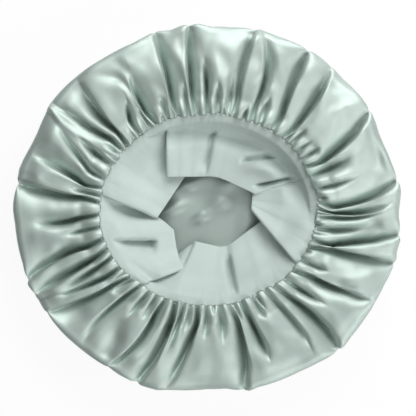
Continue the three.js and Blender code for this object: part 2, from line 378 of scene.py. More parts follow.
OUTER_SATIN = SatinFinish("outer satin", Slot.OUTER_SATIN, (182, 197, 191), (194, 208, 202))
LINING_SATIN = SatinFinish("lining satin", Slot.LINING_SATIN, (180, 195, 189), (190, 205, 199), (0.36, 0.42))
BAND_CLOTH = ClothFinish("band cloth", Slot.BAND_CLOTH, (187, 201, 196), (193, 207, 202))
ELASTIC_KNIT = ClothFinish("elastic knit", Slot.ELASTIC_KNIT, (226, 230, 227), (234, 237, 234))
SEWING_THREAD = ClothFinish("sewing thread", Slot.SEWING_THREAD, (184, 199, 193), (194, 208, 202))


def dress(piece: Piece, finish: ClothFinish, node: str) -> Piece:
    """Puts a finish on a piece and lets the piece take a node's place.

    Args:
        piece: the piece to cover.
        finish: what it is covered with.
        node: the node that it stands for.

    Returns:
        The piece.
    """
    piece.data.materials.clear()
    piece.data.materials.append(bpy.data.materials.get(finish.name) or finish.make())
    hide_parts(node)
    return piece


@dataclass
class ClothPiece:
    """A thin piece of cloth whose outer face is laid out as a sheet of points."""

    name: str
    node: str
    finish: ClothFinish
    thickness: float = 0.4

    def points(self) -> Array:
        """Gives the outer face in millimetres, which every kind of piece works out for itself."""
        raise NotImplementedError

    def build(self) -> Piece:
        """Makes the cloth, gives it its thickness on the inner side and dresses it.

        Returns:
            The finished piece.
        """
        piece = lay_cloth(self.name, self.points())
        wall = piece.modifiers.new("wall", "SOLIDIFY")
        wall.thickness = self.thickness * MM
        wall.offset = -1
        bpy.ops.object.modifier_apply(modifier=wall.name)
        bpy.ops.object.shade_smooth()
        return dress(piece, self.finish, self.node)


@dataclass(frozen=True)
class Crease:
    """A valley between two puffs of gathered cloth.

    It runs from its angle at the rim to its angle at the end, over a share of the way from the rim to the
    outline. Lean is how far in millimetres the bottom of the valley slips sideways under a puff, which rises
    steeply there, and soft is the width over which the cloth comes up on the other side.
    """

    rim: float
    end: float
    reach: float
    lean: float = 0.0
    soft: float = 17.0
    depth: float = 1.0


@dataclass(frozen=True)
class Pucker:
    """A short valley that starts at the rim and follows its long neighbours."""

    rim: float
    reach: float
    depth: float = 0.8


LONG_CREASES = tuple(Crease(*values) for values in (
    (1.6, 3.6, 0.95, -3, 14), (4.4, 10.1, 1.12, -6, 16), (24.3, 32.7, 1.08, -5, 14),
    (44.5, 49.5, 1.05, -4, 11), (51.1, 58.6, 1.08, -5, 18), (63.3, 72.5, 1.0, 4, 11),
    (75, 75.5, 1.12, -3, 18, 0.8), (89.5, 91.5, 0.66, 1, 5), (96.5, 95.5, 1.08, 3, 18),
    (107.2, 106.5, 1.08, 3, 14), (120.1, 117.7, 0.66, 4, 16), (132, 128, 0.42, 4, 14),
    (142, 134.5, 0.98, -5, 12), (145, 144.8, 0.92, -3, 9), (163.9, 150.6, 0.82, 3, 14, 0.75),
    (167.7, 162.5, 0.95, 6, 14), (176, 171.5, 1.12, -4, 10), (181.8, 182, 0.78, 0, 8, 0.9),
    (194.9, 201.3, 1.08, 5, 14), (200.4, 205.8, 1.05, 4, 11), (205.5, 207.4, 0.75, 3, 9, 0.8),
    (213.2, 209.4, 0.82, 3, 12, 0.8), (221, 212, 1.08, -5, 20, 0.8), (228.9, 226.9, 0.98, -4, 22, 0.8),
    (245.1, 237.4, 1.05, -5, 12), (250, 247, 1.12, 5, 11), (263.6, 256.5, 1.02, 5, 12),
    (282.3, 281, 1.15, 5, 12), (289.5, 292.5, 0.78, 2, 6), (305, 306, 0.9, 3, 14, 0.7),
    (310.8, 313.5, 1.12, 2, 9), (324.5, 331.5, 1.02, 5, 14), (339.5, 344.4, 1.1, 5, 16),
    (344.4, 354, 1.12, -6, 11), (356.2, 360.6, 0.9, 2, 16, 0.7),
))

SHORT_PUCKERS = tuple(Pucker(*values) for values in (
    (11, 0.45), (18, 0.4, 0.9), (33, 0.16), (38.5, 0.2), (59, 0.3), (78, 0.42), (84, 0.3), (101, 0.3),
    (113, 0.22), (124.5, 0.22), (155, 0.4, 1.0), (172.5, 0.25), (188.5, 0.34), (234.5, 0.3), (239.5, 0.24),
    (256, 0.42), (260, 0.3), (270, 0.28), (277, 0.36), (297, 0.2), (318.2, 0.42, 1.0), (332, 0.25),
    (350, 0.55, 0.9),
))

RIM_PUCKER_TRIES = 70
RIM_PUCKER_CLEARANCE = 2.0
RIM_PUCKER_SEED = 7
RIM_PUCKER_PLACES = (0.2, 0.8)
RIM_PUCKER_REACHES = (0.08, 0.2)
RIM_PUCKER_DEPTHS = (0.6, 1.0)


def rim_puckers() -> tuple[Pucker, ...]:
    """Scatters the tiny gathers that crowd along the rim between the longer valleys.

    Returns:
        The gathers that found room.
    """
    draw = np.random.default_rng(RIM_PUCKER_SEED)
    taken = np.array([fold.rim for fold in (*LONG_CREASES, *SHORT_PUCKERS)])
    found = []
    for step in range(RIM_PUCKER_TRIES):
        angle = FULL_TURN * (step + draw.uniform(*RIM_PUCKER_PLACES)) / RIM_PUCKER_TRIES
        reach = draw.uniform(*RIM_PUCKER_REACHES)
        depth = draw.uniform(*RIM_PUCKER_DEPTHS)
        if np.abs(past(taken, angle)).min() > RIM_PUCKER_CLEARANCE:
            found.append(Pucker(angle, reach, depth))
    return tuple(found)


OUTLINE_CORNERS = (
    (0, -1.8), (6, 1.2), (10, 0.4), (14, -2.1), (20, -3.6), (24, -3.3), (28, -1), (33, 1.1), (44, 0.3),
    (49, 2.1), (60, 3.1), (68, 1.7), (74, 2.9), (78, 2.1), (83, 0.2), (89, 0), (93, 2.7), (98, 2.2),
    (102, 0.2), (106, 2.3), (110, -0.6), (114, -2.4), (125, -2.5), (134, -1.1), (140, -0.1), (146, -0.3),
    (150, -2.3), (156, -4.1), (160, -3.6), (165, -1), (172, -0.3), (179, 0.8), (184, -0.8), (196, -0.6),
    (202, 2.2), (208, 0.2), (220, 0), (232, -0.6), (240, -1.1), (246, 1.4), (254, 1.2), (259, -1.6),
    (270, -4.7), (276, -4.6), (282, 0.7), (286, -1.3), (300, -0.7), (306, 0.5), (314, 3.9), (319, 1.6),
    (330, -0.6), (337, 0), (344, 3.1), (348, 0.8), (352, 2.3), (358, -1.8),
)


def outline_bump(angles: Array) -> Array:
    """Gives how far the slack outline lies outside its oval in each direction, in millimetres."""
    places, offsets = zip(*OUTLINE_CORNERS)
    return np.interp(angles, places, offsets, period=FULL_TURN)


@dataclass(frozen=True)
class RippleBelt:
    """A belt of ripples round the cap: their counts, slide and height, and where they come and go."""

    counts: Counts
    slide: float
    height: float
    rises: Range
    falls: Range

    def over(self, turn: Array, reach: Array, drift: Array | float = 0.0, sink: float = 0.0) -> Array:
        """Gives the height in each row and column, with the waves drifting sideways and sunk by a share."""
        fade = hump(reach, self.rises, self.falls)[:, None]
        return self.height * fade * (waves(turn, self.counts, drift, by_order=self.slide) - sink)


@dataclass(frozen=True)
class DragLines:
    """The shallow lines along which the slack cloth is dragged across the puffs."""

    count: int = 110
    seed: int = 23
    turns: Range = (-9, 9)
    starts: Range = (0.05, 0.7)
    lengths: Range = (0.3, 0.55)
    widths: Range = (3.0, 7.0)
    heights: Range = (0.4, 1.1)
    rises: Range = (0.0, 0.4)
    falls: Range = (0.6, 1.0)

    def over(self, angles: Array, reach: Array, radius: Array) -> Array:
        """Works out the lines' height.

        Args:
            angles: the angle of each row and column.
            reach: one value for each row.
            radius: the radius of each row and column, in millimetres.

        Returns:
            A height in millimetres for each row and column.
        """
        draw = np.random.default_rng(self.seed)
        total = np.zeros_like(radius)
        for step in range(self.count):
            start = FULL_TURN * (step + draw.uniform()) / self.count
            turn = draw.uniform(*self.turns)
            first = draw.uniform(*self.starts)
            along = (reach - first) / draw.uniform(*self.lengths)
            width = draw.uniform(*self.widths)
            height = draw.choice((-1, 1)) * draw.uniform(*self.heights)
            arc = np.radians(past(angles, (start + turn * along)[:, None])) * radius
            total += height * hump(along, self.rises, self.falls)[:, None] * np.exp(-((arc / width) ** 2))
        return total


@dataclass(frozen=True)
class GatherField:
    """The folds that the rim draws into a disc of cloth."""

    creases: tuple[Crease, ...] = LONG_CREASES
    puckers: tuple[Pucker, ...] = SHORT_PUCKERS + rim_puckers()
    span: float = 17.0
    widening: float = 0.9
    fullness: float = 1.6
    fullness_ends: float = 0.42
    sharpness: float = 0.55
    steepness: float = 3.2
    bottom_width: float = 0.5
    bottom_spread: float = 1.4
    fade_power: float = 3.0
    pucker_fade: float = 1.6
    pucker_run: float = 1.35
    run_out: float = 1.6
    over_edge: float = 0.35
    edge_reaches: Range = (1.0, 1.12)
    slant_limit: float = 1.15
    bow: float = 1.5
    bow_counts: Counts = (11, 17)
    slip_width: float = 5.0
    slit_depth: float = 1.4
    slit_width: float = 1.5
    slit_spread: float = 1.2
    slit_power: float = 1.5
    slit_opens: float = 0.5
    slit_opening: Range = (0.2, 0.8)
    columns_per_degree: float = 1.5
    fewest_columns: int = 5
    fold_heights: Knots = (
        (-0.05, 0.6), (0.0, 2.2), (0.04, 6.0), (0.14, 10.0), (0.32, 12.5), (0.55, 13.5), (0.78, 13.0),
        (0.92, 9.0), (1.0, 2.6), (1.04, 3.4), (1.07, 2.6), (1.13, 0.8), (1.3, 0.0),
    )
    gathers: RippleBelt = RippleBelt((97, 118, 143), 1.7, 0.55, (-0.02, 0.03), (0.05, 0.17))
    ripples: RippleBelt = RippleBelt((19, 31, 47), 2.3, 0.4, (0.05, 0.3), (0.6, 1.0))
    ripple_swing: float = 2.5
    ripple_swing_rate: float = 5.0
    side_folds: RippleBelt = RippleBelt((21, 34, 47), 1.9, 0.9, (1.0, 1.02), (1.05, 1.13))
    side_lean: float = 24.0
    drags: DragLines = DragLines()

    def rim_angles(self) -> Array:
        """Gives the angle at the rim of every valley, long ones first."""
        return np.array([fold.rim for fold in (*self.creases, *self.puckers)])

    def column_angles(self) -> Array:
        """Spaces columns round the rim so that each valley has one, and they crowd towards the valleys.

        Returns:
            Angles of one full turn, with the last one a turn past the first.
        """
        stops = np.sort(self.rim_angles())
        stops = np.append(stops, stops[0] + FULL_TURN)
        angles = []
        for start, end in zip(stops[:-1], stops[1:]):
            count = max(self.fewest_columns, round((end - start) * self.columns_per_degree))
            share = 0.5 - 0.5 * np.cos(np.pi * np.arange(count) / count)
            angles.append(start + (end - start) * share)
        return np.append(np.concatenate(angles), stops[-1])

    def slanted(self, angles: Array, reach: Array) -> Array:
        """Follows the slant of the long valleys outwards.

        Args:
            angles: angles at the rim.
            reach: one value for each row.

        Returns:
            The angle in each row and column.
        """
        starts, ends, reaches = np.array([(fold.rim, fold.end, fold.reach) for fold in self.creases]).T
        bows = sum(self.bow * np.sin(np.radians(starts) * count + count) for count in self.bow_counts)
        rows = []
        for share in reach:
            turned = (ends - starts) * np.clip(share / reaches, 0, self.slant_limit)
            turned = turned + bows * math.sin(np.pi * min(share, 1))
            rows.append(angles + np.interp(angles, starts, turned, period=FULL_TURN))
        return np.stack(rows)

    def relief(self, angles: Array, reach: Array, radius: Array) -> tuple[Array, Array]:
        """Works out the puffs and valleys.

        Args:
            angles: the angle of each row and column.
            reach: one value for each row.
            radius: the radius of each row and column, in millimetres.

        Returns:
            The height of each point as a share of a full puff, and its sideways slip in millimetres.
        """
        valleys = []
        for fold in self.creases:
            length = fold.reach + self.over_edge * float(ease(fold.reach, *self.edge_reaches))
            valleys.append((length, fold.depth, fold.lean, fold.soft, self.fade_power))
        for fold in self.puckers:
            valleys.append((fold.reach * self.pucker_run, fold.depth, 0.0, self.span, self.pucker_fade))
        outwards = np.clip(reach, 0, 1)[:, None]
        bottom = self.bottom_width + self.bottom_spread * outwards
        wider = 1 + self.widening * outwards
        slit_width = self.slit_width + self.slit_spread * outwards
        fuller = 1 + self.fullness * (1 - ease(reach, 0.0, self.fullness_ends))[:, None]
        closed = 1 - self.slit_opens * ease(reach, *self.slit_opening)[:, None]
        middles = self.slanted(self.rim_angles(), reach)
        closeness, slit, slip = np.zeros((3, *radius.shape))
        for middle, (length, depth, lean, soft, power) in zip(middles.T, valleys):
            arc = np.radians(past(angles, middle[:, None])) * radius
            fade = np.clip(1 - np.clip(reach / length, 0, 1) ** power, 0, 1)[:, None] * depth
            rise = np.where(arc * lean > 0, self.steepness, self.span / (soft * wider))
            way = (np.hypot(arc * rise, bottom) - bottom) * fuller + self.span * (1 - fade) ** self.run_out
            closeness += np.exp(-self.sharpness * way)
            slit = np.maximum(slit, closed * fade**self.slit_power * np.exp(-((arc / slit_width) ** 2)))
            slip += lean * fade * np.exp(-((arc / self.slip_width) ** 2))
        nearest = np.clip(-np.log(closeness) / self.sharpness / self.span, 0, 1)
        return np.sqrt(1 - (1 - nearest) ** 2) - self.slit_depth * slit, slip

    def small_folds(self, columns: Array, reach: Array) -> Array:
        """Works out the fine gathers beside the rim, the ripples along the puffs and the folds of the side.

        Args:
            columns: angles at the rim, one for each column.
            reach: one value for each row.

        Returns:
            A height in millimetres for each row and column.
        """
        turn = np.radians(columns)
        swing = self.ripple_swing * np.sin(self.ripple_swing_rate * reach)[:, None]
        lean = self.side_lean * (reach - 1)[:, None]
        sink = len(self.side_folds.counts) / 2
        folds = self.gathers.over(turn, reach) + self.ripples.over(turn, reach, swing)
        return folds + self.side_folds.over(turn, reach, lean, sink)


@dataclass(frozen=True)
class SoftSwell:
    """A swell of slack cloth: its middle, the way it runs, its half sizes and its height."""

    x: float
    y: float
    runs: float
    half_length: float
    half_width: float
    height: float

    def over(self, spots: Array) -> Array:
        """Gives the height of the swell over each spot, in millimetres."""
        off = (spots - complex(self.x, self.y)) * np.exp(-1j * math.radians(self.runs))
        return self.height * np.exp(-np.hypot(off.real / self.half_length, off.imag / self.half_width) ** 2)


CAP_SWELLS = tuple(SoftSwell(*values) for values in (
    (38, 150, 50, 20, 8, 4.0), (20, 112, 85, 12, 9, 4.0), (-22, 143, 85, 12, 6, -3.5),
    (148, 40, 70, 18, 9, -4.5), (114, 38, 5, 16, 6, -4.0), (112, 26, 25, 12, 7, 3.5),
    (136, -18, 5, 22, 8, -3.0), (96, -101, -45, 28, 6, -4.0), (-83, -116, 55, 20, 9, -4.5),
    (-117, -88, 25, 20, 8, -4.0), (-63, -130, 70, 9, 8, 3.5), (-37, -106, 75, 12, 6, -3.5),
    (-134, -10, 0, 20, 6, -4.0), (-108, 96, 125, 20, 7, -4.0), (-134, 66, 150, 18, 7, 3.0),
    (134, -46, -10, 20, 5, -3.0), (114, -66, -25, 22, 6, -3.5), (119, -80, -25, 20, 6, 3.0),
))


@dataclass(frozen=True)
class RollProfile:
    """The section of the gathered roll, from the rim over the crest to the table.

    Knots are shares of the way from the rim to the outline and heights in millimetres.
    """

    knots: Knots = (
        (-0.035, 40.2), (0.0, 40.6), (0.05, 41.8), (0.14, 43.8), (0.25, 45.2), (0.40, 45.6), (0.55, 45.0),
        (0.70, 43.8), (0.82, 43.3), (0.90, 42.9), (0.97, 42.4), (0.995, 41.7), (1.0, 39.8), (0.997, 35.0),
        (0.985, 26.0), (0.97, 17.0), (0.945, 8.5), (0.905, 3.4), (0.85, 1.2), (0.76, 0.5),
    )
    mean_span: float = 74.0
    rows: int = 58
    row_closeness: Knots = (
        (0.0, 2.2), (0.12, 1.5), (0.3, 1.0), (0.54, 1.2), (0.58, 2.6), (0.62, 2.6), (0.68, 0.9), (1.0, 0.6),
    )
    fine_steps: int = 600
    smoothing: int = 5

    def path(self) -> Array:
        """Reads the section at rows that lie closer together beside the rim and at the outline.

        Returns:
            A share and a height for each row.
        """
        steps = np.linspace(0, 1, self.fine_steps)
        fine = self.spread(np.array(self.knots), steps)
        window = np.hanning(self.smoothing + 2)[1:-1]
        half = self.smoothing // 2
        before = 2 * fine[:1] - fine[half:0:-1]
        after = 2 * fine[-1:] - fine[-2:-half - 2:-1]
        padded = np.concatenate([before, fine, after])
        soft = np.stack([np.convolve(line, window / window.sum(), "valid") for line in padded.T], 1)
        closeness = curve_through(self.row_closeness, steps)
        passed = np.concatenate([[0], np.cumsum((closeness[1:] + closeness[:-1]) / 2)])
        return self.spread(soft, np.interp(np.linspace(0, passed[-1], self.rows + 1), passed, steps))

    def spread(self, points: Array, shares: Array) -> Array:
        """Reads a line of points by the share of its length.

        Args:
            points: a share and a height for each point.
            shares: where to read, from 0 to 1.

        Returns:
            A share and a height for each place.
        """
        steps = np.hypot(np.diff(points[:, 0]) * self.mean_span, np.diff(points[:, 1]))
        length = np.concatenate([[0], np.cumsum(steps)])
        return np.stack([np.interp(shares * length[-1], length, line) for line in points.T], 1)


@dataclass
class GatheredCap(ClothPiece):
    """The outer disc of satin, drawn in by the rim into puffs and valleys."""

    name: str = "outer_cap_satin"
    node: str = "outer_cap"
    finish: ClothFinish = OUTER_SATIN
    cut_across: float = 0.55
    depth: float = 0.0
    valley_share: float = 0.74
    neck_valley_share: float = 0.3
    neck: Range = (0.05, 0.22)
    pinch_reaches: Range = (0.05, 0.24)
    pinch_shares: Range = (0.36, -1.6)
    pinch_give: float = 0.28
    overhang: float = 5.2
    overhang_back: float = 3.4
    overhang_swing: float = 0.5
    overhang_lift: float = 1.8
    overhang_counts: Counts = (5, 9, 14)
    overhang_rises: Range = (0.0, 0.03)
    overhang_falls: Range = (0.05, 0.2)
    overhang_shares: Range = (-1.6, 0.3)
    slip_starts: Range = (0.0, 0.2)
    slip_ends: Range = (0.65, 1.0)
    edge_hold: float = 0.75
    edge_sag: float = 1.3
    sag_counts: Counts = (6, 11, 17)
    sag_slide: float = 0.4
    sag_reaches: Range = (0.7, 1.0)
    slack_rises: Range = (0.0, 0.15)
    slack_falls: Range = (0.86, 1.0)
    near_side: float = 15.0
    far_fall: float = -0.1
    near_fall: float = -0.3
    shoulder_falls: Knots = ((0.65, 0.0), (0.8, 0.4), (0.9, 1.7), (1.0, 4.5), (1.02, 3.6), (1.05, 0.0))
    crown_rows: int = 8
    lowest: float = 0.4
    folds: GatherField = GatherField()
    profile: RollProfile = RollProfile()

    def cut_area(self) -> float:
        """Gives the flat area of the round cut, in square metres."""
        return math.pi / 4 * self.cut_across**2

    def skirt(self) -> Array:
        """Works out the gathered roll from the rim to the table.

        Returns:
            The sheet of points, in millimetres.
        """
        path = self.profile.path()
        widest = int(np.argmax(path[:, 0]))
        reach = np.where(np.arange(len(path)) <= widest, path[:, 0], 2 - path[:, 0])
        columns = self.folds.column_angles()
        round_way = np.radians(columns)
        angles = self.folds.slanted(columns, reach)
        rim = RIM_OUTER.radius(angles)
        radius = rim + (OUTLINE.radius(angles) + outline_bump(angles) - rim) * path[:, :1]
        falls = self.far_fall - self.near_fall * np.cos(np.radians(columns - self.near_side))
        sag = self.edge_sag * (1 + waves(round_way, self.sag_counts, by_count=self.sag_slide))
        height = path[:, 1:] - curve_through(self.shoulder_falls, reach)[:, None] * falls
        height = height - sag * ease(reach, *self.sag_reaches)[:, None] * path[:, 1:] / RIM_HEIGHT
        outwards = np.gradient(radius, axis=0)
        upwards = np.gradient(height, axis=0)
        length = np.hypot(outwards, upwards)
        share, slip = self.folds.relief(angles, reach, radius)
        pinch = np.interp(reach, self.pinch_reaches, self.pinch_shares)[:, None]
        share = np.maximum(share, pinch + self.pinch_give * (share - pinch))
        necked = 1 - ease(reach, *self.neck)
        level = (self.valley_share + (self.neck_valley_share - self.valley_share) * necked)[:, None]
        lift = curve_through(self.folds.fold_heights, reach)[:, None] * (share - level)
        lift = lift + self.folds.small_folds(columns, reach) + self.folds.drags.over(angles, reach, radius)
        spots = radius * np.exp(1j * np.radians(angles))
        slack = hump(reach, self.slack_rises, self.slack_falls)[:, None]
        lift = lift - self.depth + slack * sum(swell.over(spots) for swell in CAP_SWELLS)
        hood = hump(reach, self.overhang_rises, self.overhang_falls)[:, None]
        hood = hood * ease(share, *self.overhang_shares)
        overhang = self.overhang_back + (self.overhang - self.overhang_back) * lies_level(columns)
        overhang = overhang + self.overhang_swing * waves(round_way, self.overhang_counts, by_count=1.0)
        radius = radius - hood * overhang - upwards / length * lift
        height = height + outwards / length * lift + self.overhang_lift * hood
        slides = ease(reach, *self.slip_starts) * (1 - self.edge_hold * ease(reach, *self.slip_ends))
        return placed(radius, np.radians(angles) + slip / radius * slides[:, None], height)

    def points(self) -> Array:
        """Works out the cloth from the middle of the crown to the rim.

        Returns:
            The sheet of points, in millimetres.
        """
        skirt = self.skirt()
        skirt[:, :, 2] = np.maximum(skirt[:, :, 2], self.lowest)
        crown = skirt[-1] * np.linspace(1, 0, self.crown_rows + 1)[1:, None, None]
        crown[:, :, 2] = self.lowest
        return np.concatenate([skirt, crown])[::-1]


LINING_SWELLS = tuple(SoftSwell(*values) for values in (
    (-30, 2, 23, 14, 6.5, 3.2), (12, 7, 10, 12, 7, 3.2), (-5, -6, 25, 10, 5, 2.8),
    (-17, 23, 20, 12, 5, 3.4), (24, 26, 30, 18, 8, 3.0), (36, -12, 80, 20, 9, 2.4),
    (-48, -34, -40, 22, 9, 3.0), (8, -46, 15, 24, 9, 2.6), (64, -40, 40, 20, 9, 3.0),
    (66, 34, -35, 20, 9, 3.0), (-66, 38, 30, 22, 9, 3.0), (-12, 66, 5, 24, 9, 3.0),
))


@dataclass
class CapLining(GatheredCap):
    """The inner disc of satin, which lies inside the outer one and shows through the opening."""

    name: str = "cap_lining_satin"
    node: str = "cap_lining"
    finish: ClothFinish = LINING_SATIN
    cut_across: float = 0.53
    depth: float = 1.3
    crown_rows: int = 28
    crown_crowding: float = 0.7
    crown_height: float = 2.6
    settles: Range = (0.0, 0.25)

    def points(self) -> Array:
        """Works out the cloth from the middle of the crown to the rim.

        Returns:
            The sheet of points, in millimetres.
        """
        skirt = self.skirt()
        inwards = np.linspace(0, 1, self.crown_rows + 1)[1:, None, None] ** self.crown_crowding
        crown = skirt[-1] * (1 - inwards)
        level = skirt[-1][:, 2]
        spots = crown[:, :, 0] + 1j * crown[:, :, 1]
        height = self.crown_height + sum(swell.over(spots) for swell in LINING_SWELLS)
        crown[:, :, 2] = level + (height - level) * ease(inwards[:, :, 0], *self.settles)
        return np.concatenate([skirt, crown])[::-1]


@dataclass
class RimCasing(ClothPiece):
    """A narrow strip of cloth folded round the elastic, with the gathered edges between its lips."""

    name: str = "rim_casing_strip"
    node: str = "rim_casing"
    finish: ClothFinish = BAND_CLOTH
    thickness: float = 0.5
    flat: Range = (0.022, 0.58)
    columns: int = 420
    turn_depth: float = 2.2
    turn_steps: int = 9
    lip_start: float = 0.1
    lip_steps: int = 5
    dome: float = 0.35
    pucker_height: float = 0.12
    pucker_counts: Counts = (89, 131)
    pucker_rises: Range = (2.0, 5.0)
    pucker_depth_share: float = 0.4
    pucker_depth_rises: Range = (3.0, CASING_WIDTH)

    def section(self) -> Array:
        """Draws the strip's section from the upper lip round the inner edge to the lower lip.

        Returns:
            Depths inside the rim and heights over its middle, in millimetres.
        """
        half = CASING_HEIGHT / 2
        flat = CASING_WIDTH - self.turn_depth
        lip = np.linspace(self.lip_start, flat, self.lip_steps, endpoint=False)
        bend = np.linspace(np.pi / 2, -np.pi / 2, self.turn_steps)
        inner = np.stack([flat + self.turn_depth * np.cos(bend), half * np.sin(bend)], 1)
        upper = np.stack([lip, half - self.dome * (1 - lip / flat) ** 2], 1)
        return np.concatenate([upper, inner, (upper * (1, -1))[::-1]])

    def points(self) -> Array:
        """Lays the section round the opening.

        Returns:
            The sheet of points, in millimetres.
        """
        inside, over = np.hsplit(self.section(), 2)
        angles = np.linspace(0, FULL_TURN, self.columns + 1)
        turn = np.radians(angles)
        pucker = self.pucker_height * waves(turn, self.pucker_counts, by_count=1.0)
        depth = inside + self.pucker_depth_share * pucker * ease(inside, *self.pucker_depth_rises)
        height = RIM_HEIGHT + over + pucker * ease(inside, *self.pucker_rises) * np.sign(over)
        return placed(RIM_OUTER.radius(angles) - depth, turn, height - tilt_drop(depth))


@dataclass
class StitchRow:
    """A row of sewing stitches that dip into the cloth at both ends."""

    name: str
    node: str
    face: Face = Face.UPPER
    length: float = 2.4
    gap: float = 0.7
    radius: float = 0.2
    dip: float = 0.28
    dip_share: float = 0.4
    sides: int = 6
    rings: int = 7
    fine_steps: int = 3601

    def one_stitch(self) -> Piece:
        """Models one stitch along X.

        Returns:
            A stitch at the origin.
        """
        bpy.ops.mesh.primitive_uv_sphere_add(
            segments=self.sides, ring_count=self.rings, radius=self.radius * MM,
            rotation=(0, math.pi / 2, 0), scale=(1, 1, self.length / (2 * self.radius)))
        bpy.ops.object.transform_apply(location=True, rotation=True, scale=True)
        stitch = bpy.context.object
        for vertex in stitch.data.vertices:
            if abs(vertex.co.x) > self.dip_share * self.length * MM:
                vertex.co.z -= self.dip * MM
        return stitch

    def build(self, starts: Array, ends: Array) -> Piece:
        """Copies the stitch along a seam and dresses the row.

        Args:
            starts: where each stitch starts, in millimetres.
            ends: where each stitch ends.

        Returns:
            The finished row.
        """
        stitch = self.one_stitch()
        copies = []
        for start, end in zip(starts, ends):
            copy = stitch.copy()
            copy.data = stitch.data.copy()
            bpy.context.collection.objects.link(copy)
            along = Vector(end - start)
            stretch = along.length / self.length
            along.normalize()
            side = Vector((0, 0, self.face.value)).cross(along).normalized()
            turn = Matrix((along, side, along.cross(side))).transposed().to_4x4()
            place = Matrix.Translation(Vector((start + end) / 2) * MM)
            copy.matrix_world = place @ turn @ Matrix.Diagonal((stretch, 1, 1, 1))
            copies.append(copy)
        bpy.data.objects.remove(stitch)
        bpy.context.view_layer.update()
        pick(*copies)
        bpy.ops.object.join()
        row = named(self.name)
        bpy.ops.object.transform_apply(location=True, rotation=True, scale=True)
        bpy.ops.object.shade_smooth()
        return dress(row, SEWING_THREAD, self.node)

    def build_along(self, path: Array) -> Piece:
        """Sews evenly spaced stitches along a path.

        Args:
            path: close points from the seam's start to its end, in millimetres.

        Returns:
            The finished row.
        """
        way = np.concatenate([[0], np.cumsum(np.linalg.norm(np.diff(path, axis=0), axis=1))])
        count = round(way[-1] / (self.length + self.gap))
        starts = np.arange(count) * way[-1] / count
        ends = starts + way[-1] / count - self.gap
        places = [np.stack([np.interp(at, way, line) for line in path.T], 1) for at in (starts, ends)]
        return self.build(*places)

    def build_round(self, depth: float, height: float) -> Piece:
        """Sews a row round the rim, at a depth inside its outer edge and at a height, in millimetres."""
        angles = np.linspace(0, FULL_TURN, self.fine_steps)
        return self.build_along(placed(RIM_OUTER.grown(-depth).radius(angles), np.radians(angles), height))


@dataclass
class RimElastic:
    """The ribbed elastic inside the casing, laid once round with its ends lapped."""

    name: str = "rim_elastic_tape"
    node: str = "rim_elastic"
    outer_depth: float = 2.8
    width: float = 5.0
    thickness: float = 0.8
    rest: float = 38.7
    start: float = 90.0
    lap: float = 9.0
    lap_rise: float = 1.1
    rib_count: int = 6
    rib_depth: float = 0.09
    columns: int = 260
    face_steps: int = 30
    shade_angle: float = 50.0
    zigzag_count: int = 6
    zigzag_margin: float = 0.8
    zigzag_shares: Range = (0.08, 0.92)
    zigzag_clearance: float = 0.1

    def section(self) -> Array:
        """Draws the ribbed section, closed on itself.

        Returns:
            Depths inside the rim and heights over the tape's lower face, in millimetres.
        """
        across = np.linspace(0, 1, self.face_steps)
        rib = self.rib_depth * (0.5 - 0.5 * np.cos(2 * np.pi * self.rib_count * across))
        upper = np.stack([self.width * across, self.thickness - self.rib_depth + rib], 1)
        lower = np.stack([self.width * across, self.rib_depth - rib], 1)[::-1]
        return np.concatenate([upper, lower, upper[:1]])

    def points(self) -> Array:
        """Lays the tape round the rim, its far end climbing over its near end.

        Returns:
            The sheet of points, in millimetres.
        """
        inside, over = np.hsplit(self.section(), 2)
        full = self.start + FULL_TURN
        angles = np.linspace(self.start, full + self.lap, self.columns + 1)
        climb = self.lap_rise * ease(angles, full - 2 * self.lap, full - self.lap)
        depth = self.outer_depth + inside
        height = self.rest + climb + over - tilt_drop(depth)
        return placed(RIM_OUTER.radius(angles) - depth, np.radians(angles), height)

    def build(self) -> Piece:
        """Makes the tape, closes its two cut ends and dresses it.

        Returns:
            The finished piece.
        """
        piece = lay_cloth(self.name, self.points())
        with editing(piece):
            bpy.ops.mesh.fill_holes(sides=0)
            bpy.ops.mesh.select_all(action="SELECT")
            bpy.ops.mesh.normals_make_consistent(inside=False)
        bpy.ops.object.shade_smooth_by_angle(angle=math.radians(self.shade_angle))
        return dress(piece, ELASTIC_KNIT, self.node)

    def zigzag(self, stitches: StitchRow) -> Piece:
        """Sews the zigzag that holds the lapped ends together.

        Args:
            stitches: the row to sew.

        Returns:
            The finished row.
        """
        angles = self.start + np.linspace(*self.zigzag_shares, self.zigzag_count + 1) * self.lap
        swing = np.where(np.arange(len(angles)) % 2, self.width - self.zigzag_margin, self.zigzag_margin)
        depth = self.outer_depth + swing
        height = self.rest + self.lap_rise + self.thickness + self.zigzag_clearance - tilt_drop(depth)
        path = placed(RIM_OUTER.radius(angles) - depth, np.radians(angles), height)
        return stitches.build(path[:-1], path[1:])


@dataclass(frozen=True)
class BandLine:
    """A line of the band from the casing to its folded edge.

    It starts at an angle of the rim and ends at a point of the folded edge, in millimetres from the middle
    of the opening. Lift raises its end, and belly raises its middle.
    """

    rim: float
    edge: Range
    lift: float = 0.0
    belly: float = 0.0

    def values(self) -> Array:
        """Puts the line's rim angle, edge point, lift and belly into one row."""
        return np.array([self.rim, *self.edge, self.lift, self.belly], float)


RIM_VALUE = 0
EDGE_VALUES = slice(1, 3)
LIFT_VALUE = 3
HEIGHT_VALUES = slice(3, 5)

